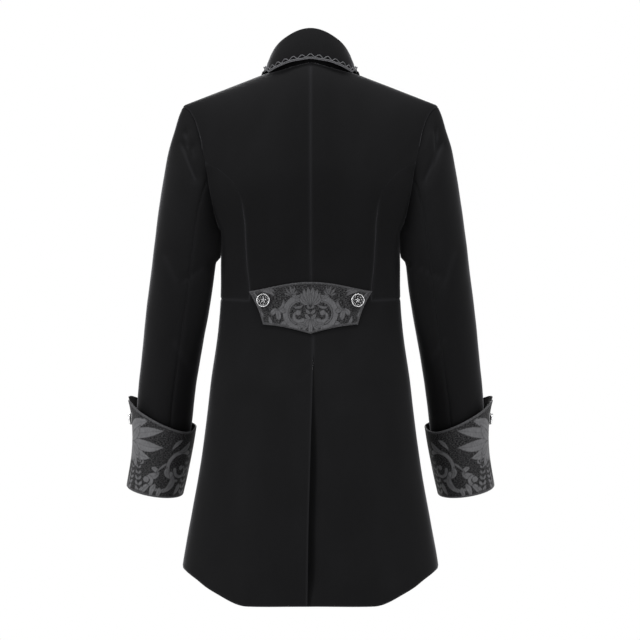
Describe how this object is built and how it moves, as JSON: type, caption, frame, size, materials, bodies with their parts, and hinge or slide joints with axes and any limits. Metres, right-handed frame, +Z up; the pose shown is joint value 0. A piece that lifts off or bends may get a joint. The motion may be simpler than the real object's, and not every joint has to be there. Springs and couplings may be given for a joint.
{
  "type": "tailcoat",
  "caption": "Velvet tailcoat with a stand-and-fall collar, swept skirts, a centre back vent, a brocade half belt and deep turned-back brocade cuffs.",
  "frame": {"origin": "middle of the neck opening: at the height of the nape seam, over the shoulder ridge", "axes": "+Z up along the body, the wearer faces -Y, and the wearer's left is +X"},
  "size_m": [0.6286, 0.2874, 0.9798],
  "materials": {
    "velvet": "dense black cotton velvet with a soft sheen",
    "brocade": "grey on charcoal woven jacquard",
    "gimp": "matte grey scalloped braid",
    "pewter": "antiqued cast pewter"
  },
  "bodies": {
    "root": {"back_left": "velvet", "back_right": "velvet", "side_body_left": "velvet", "side_body_right": "velvet", "front_left": "velvet", "front_right": "velvet", "front_skirt_left": "velvet", "front_skirt_right": "velvet", "top_sleeve_left": "velvet", "top_sleeve_right": "velvet", "under_sleeve_left": "velvet", "under_sleeve_right": "velvet", "cuff_left": "brocade", "cuff_right": "brocade", "belt_button_left": "pewter", "belt_button_right": "pewter", "cuff_button_left": "pewter", "cuff_button_right": "pewter", "collar_stand": "velvet", "collar_fall": "velvet", "collar_braid": "gimp", "half_belt": "brocade", "front_button_1": "pewter", "front_button_2": "pewter", "front_button_3": "pewter"}
  },
  "joints": []
}
